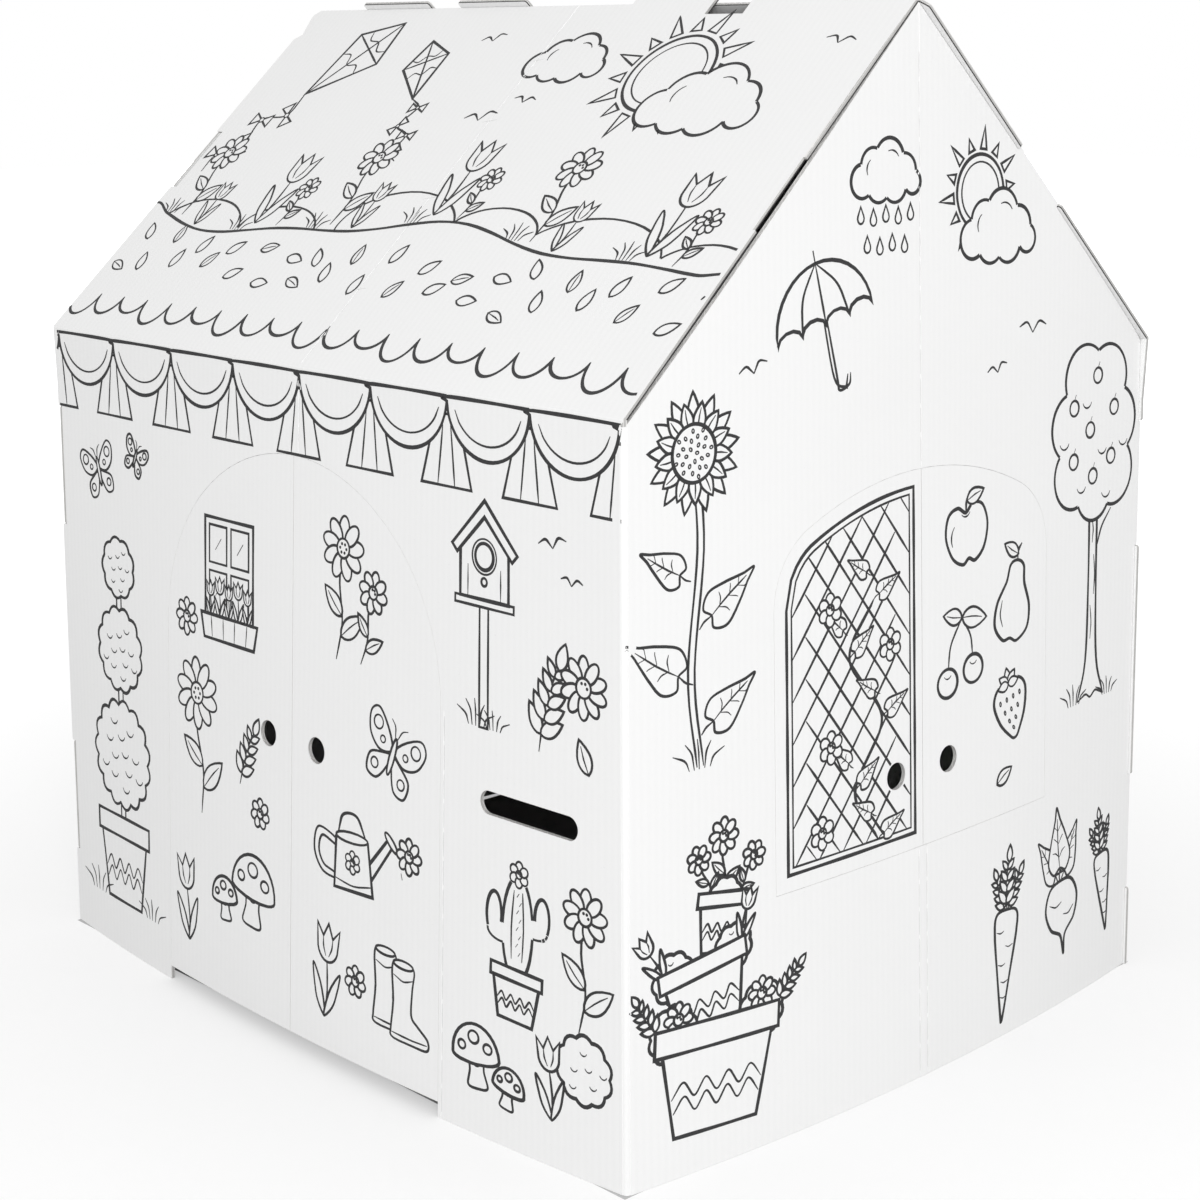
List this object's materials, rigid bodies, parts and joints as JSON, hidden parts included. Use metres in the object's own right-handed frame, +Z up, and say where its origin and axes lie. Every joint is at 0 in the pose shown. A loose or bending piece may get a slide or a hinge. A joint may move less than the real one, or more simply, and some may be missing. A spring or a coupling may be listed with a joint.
{
  "type": "cardboard playhouse",
  "caption": "Folding corrugated-card play house with gabled roof, finger-jointed corners, arched double door, mail slot and shuttered gable windows.",
  "frame": {"origin": "on the floor at the middle of the house, half way between the outer faces of the gables and of the two walls", "axes": "+Z up, +X to the right seen from the front, +Y from the front wall to the back wall"},
  "size_m": [0.906, 0.7634, 0.9848],
  "materials": {
    "front_board": "white clay-coated liner, matte",
    "rear_board": "white clay-coated liner, matte",
    "door_board": "white clay-coated liner, matte",
    "shutter_board": "white clay-coated liner, matte"
  },
  "bodies": {
    "house": {"front_sheet": "front_board", "rear_sheet": "rear_board"},
    "left_door_leaf": {"door_left": "door_board"},
    "right_door_leaf": {"door_right": "door_board"},
    "right_front_leaf": {"right_shutter_front": "shutter_board"},
    "right_rear_leaf": {"right_shutter_rear": "shutter_board"},
    "left_front_leaf": {"left_shutter_front": "shutter_board"},
    "left_rear_leaf": {"left_shutter_rear": "shutter_board"}
  },
  "joints": [
    {"name": "door_left_hinge", "type": "hinge", "parent": "house", "child": "left_door_leaf", "pos_m": [-0.221, -0.36625, 0.3], "axis": [0, -0.0294, -0.9996], "range_deg": [0, 165]},
    {"name": "door_right_hinge", "type": "hinge", "parent": "house", "child": "right_door_leaf", "pos_m": [0.207, -0.36671, 0.3], "axis": [0, 0.0307, 0.9995], "range_deg": [0, 165]},
    {"name": "right_front_hinge", "type": "hinge", "parent": "house", "child": "right_front_leaf", "pos_m": [0.43946, -0.191, 0.35], "axis": [0.0182, 0, -0.9998], "range_deg": [0, 165]},
    {"name": "right_rear_hinge", "type": "hinge", "parent": "house", "child": "right_rear_leaf", "pos_m": [0.43946, 0.191, 0.35], "axis": [-0.0182, 0, 0.9998], "range_deg": [0, 165]},
    {"name": "left_front_hinge", "type": "hinge", "parent": "house", "child": "left_front_leaf", "pos_m": [-0.43946, -0.191, 0.35], "axis": [0.0182, 0, 0.9998], "range_deg": [0, 165]},
    {"name": "left_rear_hinge", "type": "hinge", "parent": "house", "child": "left_rear_leaf", "pos_m": [-0.43946, 0.191, 0.35], "axis": [-0.0182, 0, -0.9998], "range_deg": [0, 165]}
  ]
}
